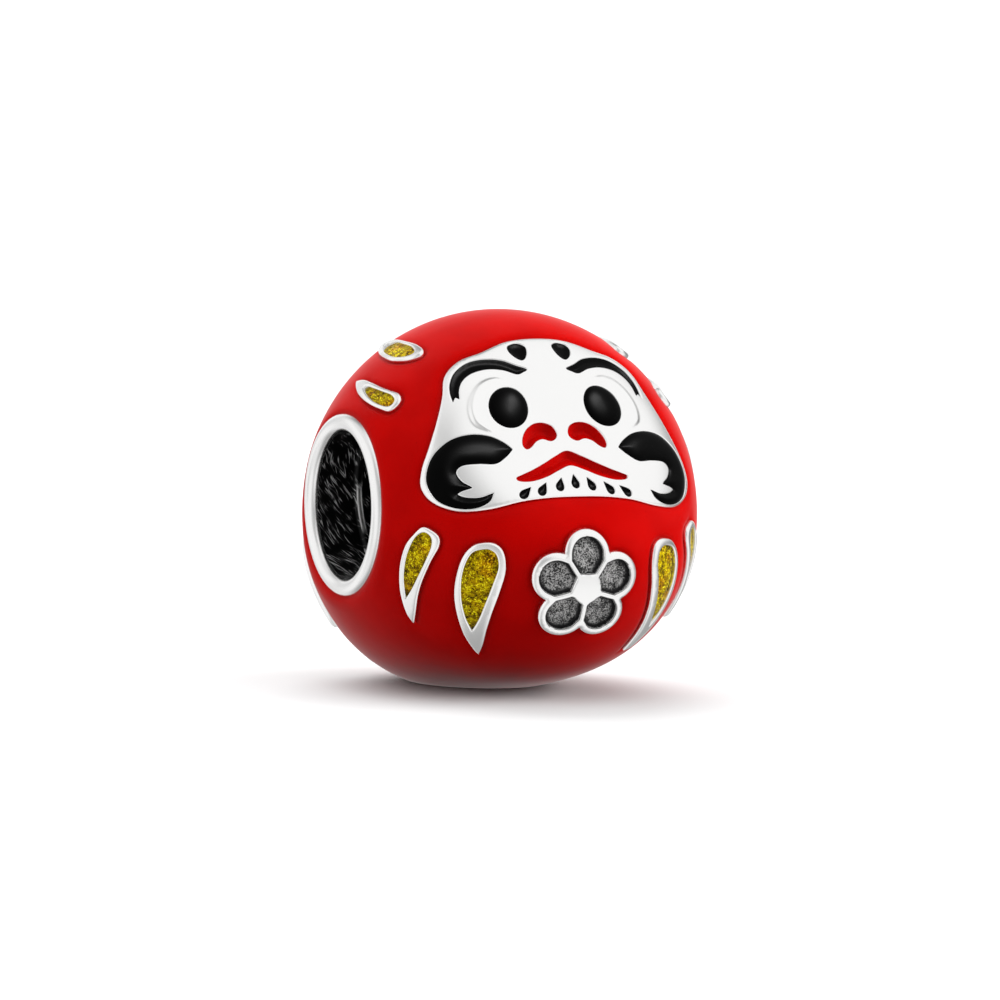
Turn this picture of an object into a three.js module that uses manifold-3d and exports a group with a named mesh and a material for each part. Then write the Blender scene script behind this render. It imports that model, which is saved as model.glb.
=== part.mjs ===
// Daruma charm bead: a hollow silver casting round a bore, with hard enamel laid in its pockets.
// Millimetres, +Z up. The face looks toward -Y, the bore runs along X, and the flat foot is on z = 0.
// "left" is the -X side, as seen by someone who looks the doll in the face.

import * as THREE from 'three';
import { mergeVertices } from 'three/addons/utils/BufferGeometryUtils.js';
import Module from 'manifold-3d';

const wasm = await Module();
wasm.setup();
const { Manifold } = wasm;

// ---------- Driving dimensions ----------

const BORE_HEIGHT = 5.62; // bore centre above the foot
const MEAN_RADIUS = 5.88; // ball that the body starts from, centred on the bore
// Each swell pushes the ball out (or in, below zero) round one direction of the middle plane:
// elevation is the angle up from the front, and spread says how wide it fades.
const SWELLS = [
  { name: 'face hollow', push: -1.6, elevation: 21, spread: 37 },
  { name: 'belly', push: 1.36, elevation: -8, spread: 46 },
  { name: 'seat', push: 1.4, elevation: -133, spread: 48 },
  { name: 'foot', push: -0.8, elevation: -90, spread: 43 },
];

const SIDE_LIMIT = 5.22; // the red surface goes no further from the middle plane, below the collars
const FIT_GAP = 0.02; // clearance that stands for the fused joint between enamel and metal
const COAT_THICKNESS = 0.35; // red enamel over the body
const WALL_THICKNESS = 0.95; // silver wall under the coat
const PLATE_PROUD = 0.03; // face plate above the red surface
const LID_PROUD = 0.13; // eyelid ridges above the red surface
const BEZEL_PROUD = 0.13; // rims of the gold drops above the red surface
const POCKET_FLOOR = -0.24; // floor of an enamel pocket, below the red surface
const CREST_FLOOR = -0.12; // floor of the crest plaque's petal recesses
const CREST_PROUD = 0.2; // crest plaque above the red surface
const ROOT_DEPTH = -0.7; // how deep raised parts run into the casting

const BORE_RADIUS = 2.23; // mouth of the bore
const SLEEVE_RADIUS = 2.5; // outside of the core sleeve
const COLLAR_RADIUS = 2.77; // outside of the turned-over collar
const COLLAR_END = 5.36; // flat land of the collar, from the middle plane
const COLLAR_START = 4.86; // underside of the collar, from the middle plane
const COLLAR_ROUND = 0.17; // rounding of the collar's corners
const THREAD_DEPTH = 0.2; // height of a thread crest inside the bore
const THREAD_PITCH = 1.1;
const THREAD_TURNS = 7;
const MOUTH_LAND = 0.93; // plain length of bore inside each collar
const CHAMFER_SHARE = 0.3; // how far in the middle of a collar's rounding lies

const AROUND_STEPS = 28; // facets of a body layer round the bore
const ACROSS_STEPS = 14; // facets of a body layer from one bore mouth to the other
const SLEEVE_STEPS = 30;
const CONE_START = 2; // outline cones run between these distances from the bore centre
const CONE_END = 18;
const PASSAGE_END = 8; // cuts along the bore run this far from the middle plane
const SLIVER = 0.028; // details smaller than this are dropped after the cuts

// ---------- Finishes ----------

const finish = (color, roughness, metalness) => new THREE.MeshStandardMaterial({ color, roughness, metalness });

const SILVER = finish(0xdedcd8, 0.22, 1);
const DARK_SILVER = finish(0x6c6a69, 0.5, 1);
const RED_ENAMEL = finish(0xb80f08, 0.16, 0);
const BLACK_ENAMEL = finish(0x0b0b0c, 0.14, 0);
const GOLD_ENAMEL = finish(0xb18a0a, 0.35, 0.25);

// ---------- Outlines ----------
// A point is [across, around] in degrees, seen from the bore centre: across goes from the middle plane
// toward a bore mouth, around climbs from the front (0) over the crown (90) and falls to the foot (-90).
// A third value of 1 makes the point a sharp corner. Outlines are drawn for the +X side.

const FACE_HALF = [
  [0, 66.5], [10, 66], [19, 63.5], [27, 62.5], [33, 58], [36.5, 49], [41, 38], [44.5, 29],
  [47.5, 20], [48, 12], [44.5, 5.5], [37, 2], [28, 2.6], [18, 5], [9, 6], [0, 6.2],
];
const BROW = [
  [7, 53.3], [10.5, 55.3], [14.5, 58], [20, 59.8], [25, 59.9], [29.5, 57.5], [32.2, 53.5], [33.3, 49.5],
  [33.5, 45.2, 1], [32.4, 46.8], [31.4, 45.8, 1], [30.5, 49.5], [28.5, 52.8], [25, 54.9], [20, 55.2],
  [15, 53.8], [11, 51.6], [8.6, 52.2],
];
const CHEEK_BEARD = [
  [19, 23.3, 1], [21.5, 26], [26, 29], [32, 30.4], [38, 29.3], [43, 24.8], [45.4, 18.5], [45.4, 12.5],
  [42.5, 6.5], [37.5, 3.7], [32, 3.4], [27.7, 5.4], [26.2, 8.3, 1], [30, 6.9], [34, 7], [36.6, 8.3],
  [35.5, 9.5], [32.3, 10.5, 1], [35.4, 13], [36.9, 16.5], [35, 18.9], [30, 19], [25, 18.5], [21.6, 20.6],
];
const NOSTRIL = [
  [2.2, 28.8], [3.2, 31.5], [6, 33], [9.5, 32.8], [12.6, 30.8], [14.6, 27.8], [15.2, 24.8], [14.2, 23.2],
  [12.5, 23.9], [10.3, 26], [7.8, 26.9], [5, 26.1], [3, 27],
];
const MOUTH_HALF = [
  [0, 22.2], [4.5, 20.3], [9, 17.8], [13.5, 15.5], [17, 14], [19, 13], [18, 11.9], [14, 11.8],
  [9, 13.2], [4.5, 15.3], [0, 16.9],
];
const EYELID = [
  [13.5, 49, 1], [18.5, 51.6], [24, 50.4], [28.2, 45.8], [30.2, 39.6], [29.6, 33.8], [26, 30.6],
  [21.6, 29.8, 1], [25, 33], [26.6, 37.5], [25.8, 42], [22.4, 46.6], [17.6, 48.6],
];
const EYE = { centre: [17, 39.3], halfAcross: 6.4, halfAround: 7.8, tilt: 12 };
const FOREHEAD_SPOT = [
  [4.7, 62.7], [7, 64.3], [9.9, 63.4], [10.5, 61], [9.4, 58.3], [7.6, 56.8], [6, 57.8], [4.8, 60.2],
];
// One almond per whisker, from its sharp top to its round foot.
const WHISKERS = [
  { top: [-14.9, 9.8], foot: [-18.2, 6.5] },
  { top: [-9.8, 11.1], foot: [-12.2, 7.2] },
  { top: [-4.4, 12.6], foot: [-5.9, 8.4] },
  { top: [0, 13.7], foot: [0, 9.1] },
  { top: [4.4, 12.6], foot: [5.9, 8.4] },
  { top: [9.8, 11.1], foot: [12.2, 7.2] },
  { top: [14.9, 9.8], foot: [18.2, 6.5] },
];
const WHISKER_HALF_WIDTH = 1.3;

const DROPS = {
  front_inner: {
    bezel: [
      [28, -7], [31.5, -8.4], [34, -12.5], [35, -19], [34.6, -26], [32.5, -33], [29, -40], [25, -45],
      [22.6, -47.2, 1], [22.8, -42], [23.4, -35], [23.3, -28], [22.5, -21], [21.8, -14.5], [22.8, -9.6],
      [25, -7.3],
    ],
    gold: [
      [28.2, -9.2], [31.2, -10.6], [32.8, -14.5], [33.2, -20], [32.2, -26.5], [30, -32.5], [27.2, -37, 1],
      [26.4, -31.5], [25.8, -25.5], [24.8, -19], [24, -14], [24.8, -10.6], [26.4, -9.3],
    ],
  },
  front_outer: {
    bezel: [
      [46.5, -4], [49, -7.5], [51.2, -13], [52, -21], [51.4, -29], [49.5, -37], [46, -44.3],
      [42.5, -47.5, 1], [43.4, -41], [44.2, -33], [44, -25.5], [42.6, -17], [40.8, -10.5], [41.2, -7],
      [43.5, -4.9],
    ],
    gold: [
      [45.8, -6.2], [48.2, -8.8], [49.7, -14.5], [50.2, -21], [49.6, -28.5], [47.5, -37.3, 1],
      [46.6, -31], [45.6, -24], [44.3, -17], [43.2, -11], [43.6, -7.6],
    ],
  },
  shoulder_upper: {
    bezel: [
      [34.8, 73.2], [37.6, 74.5], [40, 78], [41.6, 84], [41.4, 91], [40, 98], [37.5, 104],
      [34.8, 106.5], [33, 103], [33.2, 96], [33.4, 88], [32.8, 80], [33, 75],
    ],
    gold: [
      [35.6, 76.5], [38, 77.5], [40, 82], [40.3, 88], [39.4, 94], [37.4, 99], [35.4, 101],
      [34.6, 96], [34.8, 88], [34.6, 81],
    ],
  },
  shoulder_lower: {
    bezel: [
      [47.2, 57], [49.6, 55], [52.2, 55.6], [54, 60.5], [55.5, 68], [56, 77], [55.2, 86], [53.2, 93],
      [51.2, 96.5, 1], [50.4, 90], [50.3, 82], [49.7, 73], [48.3, 66], [46.8, 61],
    ],
    gold: [
      [48.9, 58.6], [50.6, 57.3], [52.2, 59.5], [53.7, 65], [54.3, 71], [54, 78], [52.9, 83.5],
      [52, 81.5], [51.4, 75.5], [50.3, 68.5], [49, 63],
    ],
  },
};
// The back drops are the front drops seen in a mirror, a little nearer to the foot.
const BACK_TURN = -169;
const toBack = ([across, around, corner = 0]) => [across, BACK_TURN - around, corner];
for (const name of ['inner', 'outer']) {
  const { bezel, gold } = DROPS[`front_${name}`];
  DROPS[`back_${name}`] = { bezel: bezel.map(toBack), gold: gold.map(toBack) };
}

const CREST = { around: -18, petals: 5, petalDistance: 9, petalRadius: 6.6, border: 2, rib: 1.5 };
const PETAL_HOLLOW_START = 3.9; // inner end of a petal recess, from the crest's centre

// ---------- Outline helpers ----------

const mirrored = (points) => points.map(([across, around, corner = 0]) => [-across, around, corner]);

// Closes a half outline, whose first and last points lie on the middle plane.
const bothHalves = (half) => [...half, ...mirrored(half.slice(1, -1)).reverse()];

// A closed Catmull-Rom curve through the points, which keeps the marked corners sharp.
function smooth(points, steps) {
  const at = (i) => points[(i + points.length) % points.length];
  const slope = (a, b, share) => [(b[0] - a[0]) * share, (b[1] - a[1]) * share];
  const result = [];
  points.forEach((start, i) => {
    const end = at(i + 1);
    const leave = start[2] ? slope(start, end, 1) : slope(at(i - 1), end, 0.5);
    const arrive = end[2] ? slope(start, end, 1) : slope(start, at(i + 2), 0.5);
    for (let k = 0; k < steps; k += 1) {
      const t = k / steps;
      const eased = 3 * t ** 2 - 2 * t ** 3;
      const leaving = t ** 3 - 2 * t ** 2 + t;
      const arriving = t ** 3 - t ** 2;
      result.push([0, 1].map((n) => (
        (1 - eased) * start[n] + eased * end[n] + leaving * leave[n] + arriving * arrive[n]
      )));
    }
  });
  return result;
}

function ellipse({ centre, halfAcross, halfAround, tilt }, steps = 14) {
  const lean = THREE.MathUtils.degToRad(tilt);
  return Array.from({ length: steps }, (_, i) => {
    const turn = (2 * Math.PI * i) / steps;
    const across = halfAcross * Math.cos(turn);
    const around = halfAround * Math.sin(turn);
    return [
      centre[0] + across * Math.cos(lean) - around * Math.sin(lean),
      centre[1] + across * Math.sin(lean) + around * Math.cos(lean),
    ];
  });
}

function almond({ top, foot }) {
  const [dx, dy] = [foot[0] - top[0], foot[1] - top[1]];
  const length = Math.hypot(dx, dy);
  const side = [(-dy / length) * WHISKER_HALF_WIDTH, (dx / length) * WHISKER_HALF_WIDTH];
  const place = (along, width) => [
    top[0] + dx * along + side[0] * width,
    top[1] + dy * along + side[1] * width,
  ];
  return [place(0, 0), place(0.35, 0.6), place(0.65, 1), place(0.9, 0.75), place(1, 0),
    place(0.9, -0.75), place(0.65, -1), place(0.35, -0.6)];
}

// Outer edge of the five-petal crest, one arc per petal.
function crestOutline() {
  const { around, petals, petalDistance, petalRadius } = CREST;
  const steps = petals * 6;
  return Array.from({ length: steps }, (_, i) => {
    const turn = (2 * Math.PI * i) / steps;
    const fromPetal = ((turn + Math.PI / petals) % ((2 * Math.PI) / petals)) - Math.PI / petals;
    const reach = petalDistance * Math.cos(fromPetal)
      + Math.sqrt(petalRadius ** 2 - (petalDistance * Math.sin(fromPetal)) ** 2);
    return [reach * Math.sin(turn), around + reach * Math.cos(turn)];
  });
}

// Recess in one petal: its outer edge keeps a border, its sides keep half a rib.
function petalOutline(index) {
  const { around, petals, petalDistance, petalRadius, border, rib } = CREST;
  const turn = (2 * Math.PI * index) / petals;
  const radius = petalRadius - border;
  const sideLimit = (distance) => distance * Math.tan(Math.PI / petals) - rib / 2;
  const right = [];
  for (let i = 0; i <= 5; i += 1) {
    const distance = PETAL_HOLLOW_START + ((petalDistance + radius - PETAL_HOLLOW_START) * i) / 5;
    const beyond = Math.max(distance - petalDistance, 0);
    const arc = Math.sqrt(Math.max(radius ** 2 - beyond ** 2, 0));
    right.push([distance, Math.min(arc, sideLimit(distance))]);
  }
  const left = right.slice(0, -1).reverse().map(([distance, width]) => [distance, -width]);
  return [...right, ...left].map(([distance, width]) => [
    distance * Math.sin(turn) + width * Math.cos(turn),
    around + distance * Math.cos(turn) - width * Math.sin(turn),
  ]);
}

// ---------- Solids ----------

const direction = ([across, around]) => {
  const a = THREE.MathUtils.degToRad(across);
  const b = THREE.MathUtils.degToRad(around);
  return new THREE.Vector3(Math.sin(a), -Math.cos(a) * Math.cos(b), Math.cos(a) * Math.sin(b));
};

// Distance from the bore centre to the red surface, along a unit direction.
function bodyRadius(ray) {
  const swollen = SWELLS.reduce((radius, { push, elevation, spread }) => {
    const closeness = ray.dot(direction([0, elevation]));
    const fade = 1 - Math.cos(THREE.MathUtils.degToRad(spread));
    return radius + push * Math.exp(-(1 - closeness) / fade);
  }, MEAN_RADIUS);
  return Math.min(swollen, SIDE_LIMIT / Math.abs(ray.x));
}

function toSolid(geometry) {
  geometry.deleteAttribute('normal');
  geometry.deleteAttribute('uv');
  const merged = mergeVertices(geometry, 1e-5);
  return new Manifold(new wasm.Mesh({
    numProp: 3,
    vertProperties: new Float32Array(merged.attributes.position.array),
    triVerts: new Uint32Array(merged.index.array),
  }));
}

// The whole body up to a distance above (or below) the red surface, without its foot cut flat.
const layers = new Map();
function layer(offset, coarseness = 1) {
  if (!layers.has(offset)) {
    const ball = new THREE.SphereGeometry(1, AROUND_STEPS / coarseness, ACROSS_STEPS / coarseness);
    ball.rotateZ(Math.PI / 2);
    const place = ball.attributes.position;
    const ray = new THREE.Vector3();
    for (let i = 0; i < place.count; i += 1) {
      ray.fromBufferAttribute(place, i).normalize();
      ray.multiplyScalar(bodyRadius(ray) + offset);
      place.setXYZ(i, ray.x, ray.y, ray.z);
    }
    layers.set(offset, toSolid(ball));
  }
  return layers.get(offset);
}

// Every ray from the bore centre through an outline, as one cone grown sideways by a gap.
function cone(outline, gap = 0) {
  const axis = outline.reduce((sum, point) => sum.add(direction(point)), new THREE.Vector3()).normalize();
  const sideways = new THREE.Vector3(0, 0, 1).cross(axis).normalize();
  const upward = axis.clone().cross(sideways);
  const flat = outline.map((point) => {
    const ray = direction(point);
    const reach = ray.dot(axis);
    return new THREE.Vector2(ray.dot(sideways) / reach, ray.dot(upward) / reach);
  });
  if (THREE.ShapeUtils.isClockWise(flat)) {
    flat.reverse();
  }
  const growth = gap / MEAN_RADIUS;
  const grown = flat.map((point, i) => {
    const before = flat[(i + flat.length - 1) % flat.length];
    const after = flat[(i + 1) % flat.length];
    const along = after.clone().sub(before).normalize();
    return new THREE.Vector2(point.x + along.y * growth, point.y - along.x * growth);
  });
  const prism = new THREE.ExtrudeGeometry(new THREE.Shape(grown), { depth: 1, bevelEnabled: false });
  const place = prism.attributes.position;
  for (let i = 0; i < place.count; i += 1) {
    const reach = CONE_START + (CONE_END - CONE_START) * place.getZ(i);
    const corner = axis.clone()
      .addScaledVector(sideways, place.getX(i))
      .addScaledVector(upward, place.getY(i))
      .multiplyScalar(reach);
    place.setXYZ(i, corner.x, corner.y, corner.z);
  }
  return toSolid(prism);
}

// The part of the body between two offsets that an outline cuts out.
const inlay = (outline, floor, top) => cone(outline).intersect(layer(top)).subtract(layer(floor));

// Cuts the foot flat, a little higher for the layers under the coat.
const aboveFoot = (solid, lift = 0) => solid.trimByPlane([0, 0, 1], -BORE_HEIGHT + lift);

// A cylinder round the bore axis, from one distance to another along it.
function boreCylinder(radius, start = -PASSAGE_END, end = PASSAGE_END) {
  const cylinder = new THREE.CylinderGeometry(radius, radius, end - start, SLEEVE_STEPS);
  cylinder.translate(0, (start + end) / 2, 0);
  cylinder.rotateZ(-Math.PI / 2);
  return toSolid(cylinder);
}

// ---------- Silver ----------

const faceOutline = smooth(bothHalves(FACE_HALF), 1);
const mouthOutline = bothHalves(MOUTH_HALF);
const sides = [{ side: 'left', turn: mirrored }, { side: 'right', turn: (points) => points }];

// Enamel fills: name, outline, and how far each top stands above or below the red surface.
const fills = [{ name: 'mouth_enamel', outline: mouthOutline, top: -0.08, material: RED_ENAMEL }];
WHISKERS.forEach((whisker, i) => {
  fills.push({ name: `chin_whisker_${i + 1}`, outline: almond(whisker), top: -0.02, material: BLACK_ENAMEL });
});
for (const { side, turn } of sides) {
  fills.push({ name: `eye_${side}`, outline: turn(ellipse(EYE)), top: 0.12, material: BLACK_ENAMEL });
  fills.push({ name: `brow_${side}`, outline: turn(BROW), top: 0, material: BLACK_ENAMEL });
  fills.push({ name: `forehead_spot_${side}`, outline: turn(FOREHEAD_SPOT), top: 0, material: BLACK_ENAMEL });
  fills.push({ name: `cheek_beard_${side}`, outline: turn(CHEEK_BEARD), top: 0.08, material: BLACK_ENAMEL });
  fills.push({ name: `nostril_${side}`, outline: turn(NOSTRIL), top: -0.06, material: RED_ENAMEL });
  for (const [place, { gold }] of Object.entries(DROPS)) {
    fills.push({ name: `gold_${place}_${side}`, outline: turn(gold), top: 0.05, material: GOLD_ENAMEL });
  }
}
const bezels = sides.flatMap(({ turn }) => Object.values(DROPS).map(({ bezel }) => turn(bezel)));
const eyelids = sides.map(({ turn }) => turn(EYELID));

// The hollow casting: a wall under the coat, the raised face plate and bezels, and their pockets.
function bodyCasting() {
  const underCoat = -COAT_THICKNESS - FIT_GAP;
  const wall = layer(underCoat);
  const raised = [
    inlay(faceOutline, ROOT_DEPTH, PLATE_PROUD),
    ...eyelids.map((outline) => inlay(outline, ROOT_DEPTH, LID_PROUD)),
    ...bezels.map((outline) => inlay(outline, ROOT_DEPTH, BEZEL_PROUD)),
  ];
  const pockets = fills.map(({ outline }) => cone(outline, FIT_GAP).subtract(layer(POCKET_FLOOR - FIT_GAP)));
  const crestPocket = cone(crestOutline(), FIT_GAP).subtract(layer(underCoat - FIT_GAP));
  const hollow = layer(underCoat - WALL_THICKNESS, 2);
  const seatStart = COLLAR_START - FIT_GAP;
  const sleevePassage = [
    boreCylinder(SLEEVE_RADIUS + FIT_GAP),
    boreCylinder(COLLAR_RADIUS + FIT_GAP, -PASSAGE_END, -seatStart),
    boreCylinder(COLLAR_RADIUS + FIT_GAP, seatStart, PASSAGE_END),
  ];
  const cast = Manifold.union([wall, ...raised])
    .subtract(Manifold.union([hollow, crestPocket, ...pockets, ...sleevePassage]));
  return aboveFoot(cast, COAT_THICKNESS + FIT_GAP);
}

// The red coat covers the casting and leaves its raised parts, the crest and the collars free.
function redCoat() {
  const openings = [
    cone(faceOutline, FIT_GAP),
    cone(crestOutline(), FIT_GAP),
    ...bezels.map((outline) => cone(outline, FIT_GAP)),
    boreCylinder(COLLAR_RADIUS + FIT_GAP),
  ];
  const inside = aboveFoot(layer(-COAT_THICKNESS), COAT_THICKNESS);
  return aboveFoot(layer(0)).subtract(inside).subtract(Manifold.union(openings));
}

// The plum-blossom plaque, with a hollow in each petal.
function crestPlaque() {
  const hollows = Array.from({ length: CREST.petals }, (_, i) => (
    cone(petalOutline(i)).subtract(layer(CREST_FLOOR))
  ));
  return inlay(crestOutline(), -COAT_THICKNESS - FIT_GAP, CREST_PROUD).subtract(Manifold.union(hollows));
}

// The tube through the casting: rounded collars, plain mouths, and thread crests between them.
function coreSleeve() {
  const outside = [
    [-SLEEVE_RADIUS, COLLAR_START],
    [-COLLAR_RADIUS, COLLAR_START],
    [-COLLAR_RADIUS, COLLAR_END - COLLAR_ROUND],
    [-COLLAR_RADIUS + CHAMFER_SHARE * COLLAR_ROUND, COLLAR_END - CHAMFER_SHARE * COLLAR_ROUND],
    [-COLLAR_RADIUS + COLLAR_ROUND, COLLAR_END],
    [-BORE_RADIUS - COLLAR_ROUND, COLLAR_END],
    [-BORE_RADIUS - CHAMFER_SHARE * COLLAR_ROUND, COLLAR_END - CHAMFER_SHARE * COLLAR_ROUND],
    [-BORE_RADIUS, COLLAR_END - COLLAR_ROUND],
    [-BORE_RADIUS, COLLAR_START - MOUTH_LAND],
  ].map(([radius, x]) => new THREE.Vector2(-radius, x));
  const thread = [];
  const half = (THREAD_PITCH * THREAD_TURNS) / 2;
  for (let i = THREAD_TURNS; i > 0; i -= 1) {
    const top = -half + i * THREAD_PITCH;
    thread.push(new THREE.Vector2(BORE_RADIUS - FIT_GAP, top - 0.15 * THREAD_PITCH));
    thread.push(new THREE.Vector2(BORE_RADIUS - THREAD_DEPTH, top - 0.5 * THREAD_PITCH));
  }
  const farSide = outside.map((point) => new THREE.Vector2(point.x, -point.y)).reverse();
  const profile = [...outside, ...thread, ...farSide];
  profile.push(profile[0].clone());
  const sleeve = new THREE.LatheGeometry(profile, SLEEVE_STEPS);
  sleeve.rotateZ(Math.PI / 2);
  return toSolid(sleeve);
}

// ---------- Assembly ----------

function toMesh(name, solid, material) {
  const { vertProperties, triVerts } = solid.asOriginal().simplify(SLIVER).getMesh();
  const geometry = new THREE.BufferGeometry();
  geometry.setAttribute('position', new THREE.BufferAttribute(new Float32Array(vertProperties), 3));
  geometry.setIndex(new THREE.BufferAttribute(new Uint32Array(triVerts), 1));
  geometry.computeVertexNormals();
  const mesh = new THREE.Mesh(geometry, material);
  mesh.name = name;
  return mesh;
}

const group = new THREE.Group();
group.position.z = BORE_HEIGHT;
group.add(toMesh('body_casting', bodyCasting(), SILVER));
group.add(toMesh('red_enamel_coat', redCoat(), RED_ENAMEL));
group.add(toMesh('crest_plaque', crestPlaque(), DARK_SILVER));
group.add(toMesh('core_sleeve', coreSleeve(), SILVER));
for (const { name, outline, top, material } of fills) {
  group.add(toMesh(name, inlay(outline, POCKET_FLOOR, top), material));
}

export default group;
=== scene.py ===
# %% [markdown]
# # A daruma charm bead in silver and enamel
# The object is a bracelet bead, about 11 mm high: a hollow silver casting round a bore, with red,
# black and gold enamel fused into its hollows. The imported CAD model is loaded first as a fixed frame.
# Every piece below lies where that frame says, and replaces the plain CAD node of the same part.

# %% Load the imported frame
from math import cos, pi, radians, sin, tan, tau

import bpy
import numpy as np
from mathutils import Matrix, Vector
from mathutils.geometry import delaunay_2d_cdt
from mathutils.kdtree import KDTree


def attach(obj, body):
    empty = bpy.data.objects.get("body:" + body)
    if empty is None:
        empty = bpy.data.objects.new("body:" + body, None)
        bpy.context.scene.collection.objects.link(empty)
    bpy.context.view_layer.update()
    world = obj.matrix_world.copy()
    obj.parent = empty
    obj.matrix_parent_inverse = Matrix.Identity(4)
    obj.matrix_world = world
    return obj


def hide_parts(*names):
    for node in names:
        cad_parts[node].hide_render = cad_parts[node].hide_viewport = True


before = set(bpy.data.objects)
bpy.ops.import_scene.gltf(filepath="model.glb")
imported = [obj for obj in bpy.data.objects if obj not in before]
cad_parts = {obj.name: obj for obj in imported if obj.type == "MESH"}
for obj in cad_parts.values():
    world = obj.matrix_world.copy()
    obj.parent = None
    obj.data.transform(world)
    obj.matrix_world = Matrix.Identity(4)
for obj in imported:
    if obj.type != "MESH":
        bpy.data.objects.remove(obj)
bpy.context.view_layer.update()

# %% [markdown]
# ## Sizes
# Lengths are in millimetres and angles in degrees, as a jeweller would note them, and `MM` turns a
# length into Blender's metres. The body is one ball, pushed in at the face and out at the belly and
# the seat. Each push fades with the angle from its own direction.

# %% Driving sizes
MM = 0.001
BORE_HEIGHT = 5.62
MEAN_RADIUS = 5.855
SIDE_LIMIT = 5.22
SWELLS = {
    "Face hollow": {"push": -1.6, "elevation": 21, "spread": 37},
    "Belly": {"push": 1.36, "elevation": -8, "spread": 46},
    "Seat": {"push": 1.4, "elevation": -133, "spread": 48},
    "Foot": {"push": -0.8, "elevation": -90, "spread": 43},
}
FOOT_BLEND = 0.06
SIDE_BLEND = 0.18

# Heights above the red surface, and thicknesses below it
PLATE_TOP = 0.03
BEZEL_TOP = 0.12
CREST_TOP = 0.19
CREST_FLOOR = -0.02
POCKET_FLOOR = -0.24
GROUND = -0.36
COAT_THICKNESS = 0.33
CASTING_DEPTH = 1.3

# The tube through the bore
BORE_RADIUS = 2.23
SLEEVE_RADIUS = 2.5
COLLAR_RADIUS = 2.77
COLLAR_START = 4.87
COLLAR_END = 5.35

# Joints, rounded edges and how finely outlines are cut
SOLDER_GAP = 0.02
COAT_OVERLAP = 0.01
FIELD_OVERLAP = 0.006
FLOOR_GAP = 0.005
ROUNDING = {"plate": 0.14, "pocket": 0.035, "rim": 0.1, "gold": 0.05, "crest": 0.12, "petal": 0.05}
EDGE_STEP = 0.045
SMALL_STEP = 0.035
WHISKER_STEP = 0.025
SHARP_ANGLE = 52
LEAST_COSINE = 0.05

# %% [markdown]
# ## Outlines
# Every enamel field and silver rim is drawn as an outline of [across, around] angles seen from the
# middle of the bore: across runs towards a bore mouth, around climbs from the front over the crown.
# A third value of 1 marks a sharp corner. Outlines are drawn once for the +X side and mirrored.

# %% Outline points
def outline(text):
    """Points from a text: across, around, and a 1 at a sharp corner."""
    return [[float(value) for value in point.split()] for point in text.split(",")]


FACE_HALF = outline("""
    0 66.5, 10 66, 19 63.5, 27 62.5, 33 58, 36.5 49, 41 38, 44.5 29, 47.5 20, 48 12, 44.5 5.5, 37 2,
    28 2.6, 18 5, 9 6, 0 6.2""")
BROW = outline("""
    7 53.3, 10.5 55.3, 14.5 58, 20 59.8, 25 59.9, 29.5 57.5, 32.2 53.5, 33.3 49.5, 33.5 45.2 1,
    32.4 46.8, 31.4 45.8 1, 30.5 49.5, 28.5 52.8, 25 54.9, 20 55.2, 15 53.8, 11 51.6, 8.6 52.2""")
CHEEK_BEARD = outline("""
    19 23.3 1, 21.5 26, 26 29, 32 30.4, 38 29.3, 43 24.8, 45.4 18.5, 45.4 12.5, 42.5 6.5, 37.5 3.7,
    32 3.4, 27.7 5.4, 26.2 8.3 1, 30 6.9, 34 7, 36.6 8.3, 35.5 9.5, 32.3 10.5 1, 35.4 13, 36.9 16.5,
    35 18.9, 30 19, 25 18.5, 21.6 20.6""")
NOSTRIL = outline("""
    2.2 28.8, 3.2 31.5, 6 33, 9.5 32.8, 12.6 30.8, 14.6 27.8, 15.2 24.8, 14.2 23.2, 12.5 23.9, 10.3 26,
    7.8 26.9, 5 26.1, 3 27""")
MOUTH_HALF = outline("""
    0 22.2, 4.5 20.3, 9 17.8, 13.5 15.5, 17 14, 19 13, 18 11.9, 14 11.8, 9 13.2, 4.5 15.3, 0 16.9""")
EYELID = outline("""
    13.5 49 1, 18.5 51.6, 24 50.4, 28.2 45.8, 30.2 39.6, 29.6 33.8, 26 30.6, 21.6 29.8 1, 25 33,
    26.6 37.5, 25.8 42, 22.4 46.6, 17.6 48.6""")
EYE = {"centre": (17, 39.3), "half_across": 6.4, "half_around": 7.8, "tilt": 12}
FOREHEAD_SPOT = outline("""
    4.7 62.7, 7 64.3, 9.9 63.4, 10.5 61, 9.4 58.3, 7.6 56.8, 6 57.8, 4.8 60.2""")
WHISKERS = [((-14.9, 9.8), (-18.2, 6.5)), ((-9.8, 11.1), (-12.2, 7.2)), ((-4.4, 12.6), (-5.9, 8.4))]
WHISKERS += [((0, 13.7), (0, 9.1))] + [
    ((-top[0], top[1]), (-foot[0], foot[1])) for top, foot in WHISKERS[::-1]]
WHISKER_HALF_WIDTH = 1.3
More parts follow.
